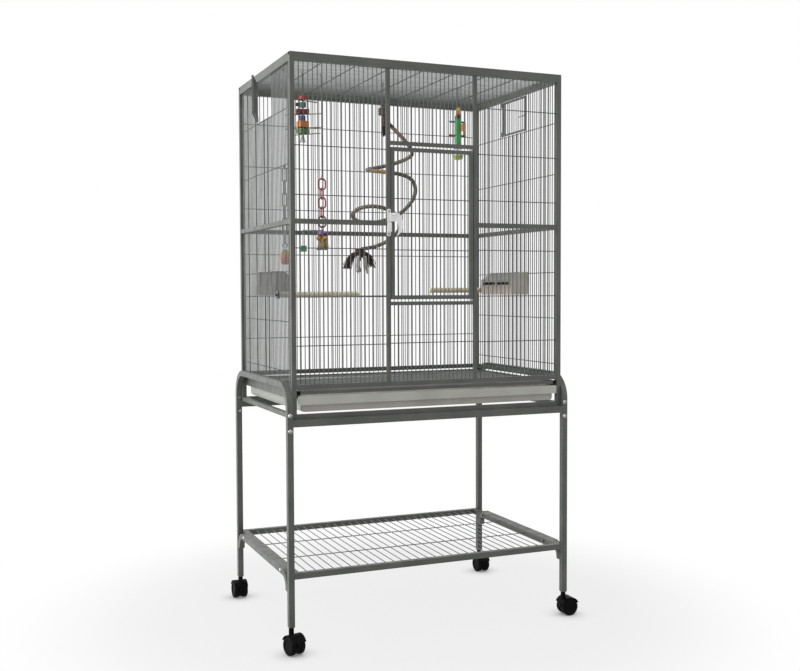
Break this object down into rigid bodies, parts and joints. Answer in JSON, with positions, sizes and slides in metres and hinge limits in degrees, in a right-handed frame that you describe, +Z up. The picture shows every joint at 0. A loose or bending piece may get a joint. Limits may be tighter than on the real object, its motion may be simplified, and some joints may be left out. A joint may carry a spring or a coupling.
{
  "type": "flight bird cage",
  "caption": "Tall wire flight cage on a rolling stand, with a hinged front door, nest-box doors, slide-out tray and grate, feeders, perches and hanging toys.",
  "frame": {"origin": "on the floor under the middle of the stand", "axes": "+Z up, the door faces -Y, +X to the right of someone facing the door"},
  "size_m": [0.9081, 0.6248, 1.5716],
  "materials": {
    "frame_paint": "dark grey-green powder coat, slightly textured",
    "wire_paint": "dark grey-green powder coat on drawn wire",
    "insert_steel": "bare steel insert",
    "zinc": "bright zinc plate",
    "black_plastic": "black nylon",
    "wheel_plastic": "black nylon, lightly scuffed",
    "latch_plastic": "pale grey moulded latch",
    "tray_paint": "light warm grey coat",
    "feeder_plastic": "warm grey moulded plastic",
    "perch_wood": "bare turned hardwood",
    "rope_cotton": "twisted cotton rope",
    "block_wood": "stained wooden blocks",
    "bead_plastic": "bright moulded plastic",
    "ball_plastic": "bright moulded plastic",
    "chain_plastic": "bright moulded plastic"
  },
  "bodies": {
    "stand_and_cage": {"front_frame": "frame_paint", "front_wires": "wire_paint", "rear_frame": "frame_paint", "rear_wires": "wire_paint", "left_rails": "frame_paint", "left_wires": "wire_paint", "right_rails": "frame_paint", "right_wires": "wire_paint", "roof_frame": "frame_paint", "roof_wires": "wire_paint", "runners": "frame_paint", "left_arch": "frame_paint", "right_arch": "frame_paint", "front_legs": "frame_paint", "rear_legs": "frame_paint", "leg_inserts": "insert_steel", "seat_rails": "frame_paint", "shelf_braces": "frame_paint", "shelf_frame": "frame_paint", "shelf_wires": "wire_paint", "stand_bolts": "zinc", "shelf_bolts": "zinc", "caster_plugs": "black_plastic", "latch_keeper": "latch_plastic", "latch_screws": "zinc", "left_feeder_tub": "feeder_plastic", "left_feeder_hood": "feeder_plastic", "right_feeder_tub": "feeder_plastic", "right_feeder_hood": "feeder_plastic", "left_perch": "perch_wood", "right_perch": "perch_wood", "perch_fittings": "zinc"},
    "door": {"door_frame": "frame_paint", "door_wires": "wire_paint", "door_pins": "zinc", "latch_pivot": "zinc"},
    "latch": {"latch_lever": "latch_plastic"},
    "nest_left": {"left_nest_door": "wire_paint"},
    "nest_right": {"right_nest_door": "wire_paint"},
    "grate": {"grate_frame": "frame_paint", "grate_wires": "wire_paint", "grate_caps": "black_plastic"},
    "tray": {"tray": "tray_paint"},
    "rope": {"rope_perch": "rope_cotton", "rope_fittings": "zinc"},
    "block_toy": {"block_toy_wire": "zinc", "block_toy_blocks": "block_wood"},
    "bead_toy": {"bead_toy_wire": "zinc", "bead_toy_beads": "bead_plastic"},
    "ball_toy": {"ball_toy_links": "zinc", "ball_toy_ball": "ball_plastic"},
    "link_toy": {"chain_toy": "chain_plastic"},
    "front_left_swivel": {"front_left_fork": "black_plastic"},
    "front_left_roll": {"front_left_wheels": "wheel_plastic"},
    "front_right_swivel": {"front_right_fork": "black_plastic"},
    "front_right_roll": {"front_right_wheels": "wheel_plastic"},
    "rear_left_swivel": {"rear_left_fork": "black_plastic"},
    "rear_left_roll": {"rear_left_wheels": "wheel_plastic"},
    "rear_right_swivel": {"rear_right_fork": "black_plastic"},
    "rear_right_roll": {"rear_right_wheels": "wheel_plastic"}
  },
  "joints": [
    {"name": "door_hinge", "type": "hinge", "parent": "stand_and_cage", "child": "door", "pos_m": [0.1185, -0.26015, 0.929], "axis": [0, 0, 1], "range_deg": [0, 105]},
    {"name": "latch_turn", "type": "hinge", "parent": "door", "child": "latch", "pos_m": [-0.1185, -0.26515, 1.15834], "axis": [0, -1, 0], "range_deg": [-18, 75]},
    {"name": "left_nest_hinge", "type": "hinge", "parent": "stand_and_cage", "child": "nest_left", "pos_m": [-0.40015, 0.07614, 1.502], "axis": [0, 0, -1], "range_deg": [-20, 90]},
    {"name": "right_nest_hinge", "type": "hinge", "parent": "stand_and_cage", "child": "nest_right", "pos_m": [0.40015, 0.07614, 1.502], "axis": [0, 0, 1], "range_deg": [0, 110]},
    {"name": "grate_slide", "type": "slide", "parent": "stand_and_cage", "child": "grate", "axis": [0, -1, 0], "range_m": [0, 0.48]},
    {"name": "tray_slide", "type": "slide", "parent": "stand_and_cage", "child": "tray", "axis": [0, -1, 0], "range_m": [0, 0.48]},
    {"name": "front_left_swivel_turn", "type": "hinge", "parent": "stand_and_cage", "child": "front_left_swivel", "pos_m": [-0.4149, -0.2702, 0.066], "axis": [0, 0, 1], "continuous": true},
    {"name": "front_left_wheel_turn", "type": "hinge", "parent": "front_left_swivel", "child": "front_left_roll", "pos_m": [-0.41128, -0.28372, 0.025], "axis": [0.9659, 0.2588, 0], "continuous": true},
    {"name": "front_right_swivel_turn", "type": "hinge", "parent": "stand_and_cage", "child": "front_right_swivel", "pos_m": [0.4149, -0.2702, 0.066], "axis": [0, 0, 1], "continuous": true},
    {"name": "front_right_wheel_turn", "type": "hinge", "parent": "front_right_swivel", "child": "front_right_roll", "pos_m": [0.4289, -0.2702, 0.025], "axis": [0, 1, 0], "continuous": true},
    {"name": "rear_left_swivel_turn", "type": "hinge", "parent": "stand_and_cage", "child": "rear_left_swivel", "pos_m": [-0.4149, 0.2702, 0.066], "axis": [0, 0, 1], "continuous": true},
    {"name": "rear_left_wheel_turn", "type": "hinge", "parent": "rear_left_swivel", "child": "rear_left_roll", "pos_m": [-0.4149, 0.2842, 0.025], "axis": [-1, 0, 0], "continuous": true},
    {"name": "rear_right_swivel_turn", "type": "hinge", "parent": "stand_and_cage", "child": "rear_right_swivel", "pos_m": [0.4149, 0.2702, 0.066], "axis": [0, 0, 1], "continuous": true},
    {"name": "rear_right_wheel_turn", "type": "hinge", "parent": "rear_right_swivel", "child": "rear_right_roll", "pos_m": [0.4149, 0.2562, 0.025], "axis": [1, 0, 0], "continuous": true},
    {"name": "rope_swing", "type": "hinge", "parent": "stand_and_cage", "child": "rope", "pos_m": [-0.04, 0, 1.5668], "axis": [1, 0, 0], "range_deg": [-12, 12]},
    {"name": "block_toy_swing", "type": "hinge", "parent": "stand_and_cage", "child": "block_toy", "pos_m": [-0.308, -0.06345, 1.5668], "axis": [1, 0, 0], "range_deg": [-15, 15]},
    {"name": "bead_toy_swing", "type": "hinge", "parent": "stand_and_cage", "child": "bead_toy", "pos_m": [0.206, 0, 1.5668], "axis": [1, 0, 0], "range_deg": [-15, 15]},
    {"name": "ball_toy_swing", "type": "hinge", "parent": "stand_and_cage", "child": "ball_toy", "pos_m": [-0.366, -0.07614, 1.5668], "axis": [1, 0, 0], "range_deg": [-12, 12]},
    {"name": "link_toy_swing", "type": "hinge", "parent": "stand_and_cage", "child": "link_toy", "pos_m": [-0.248, -0.05076, 1.5668], "axis": [1, 0, 0], "range_deg": [-12, 12]}
  ]
}
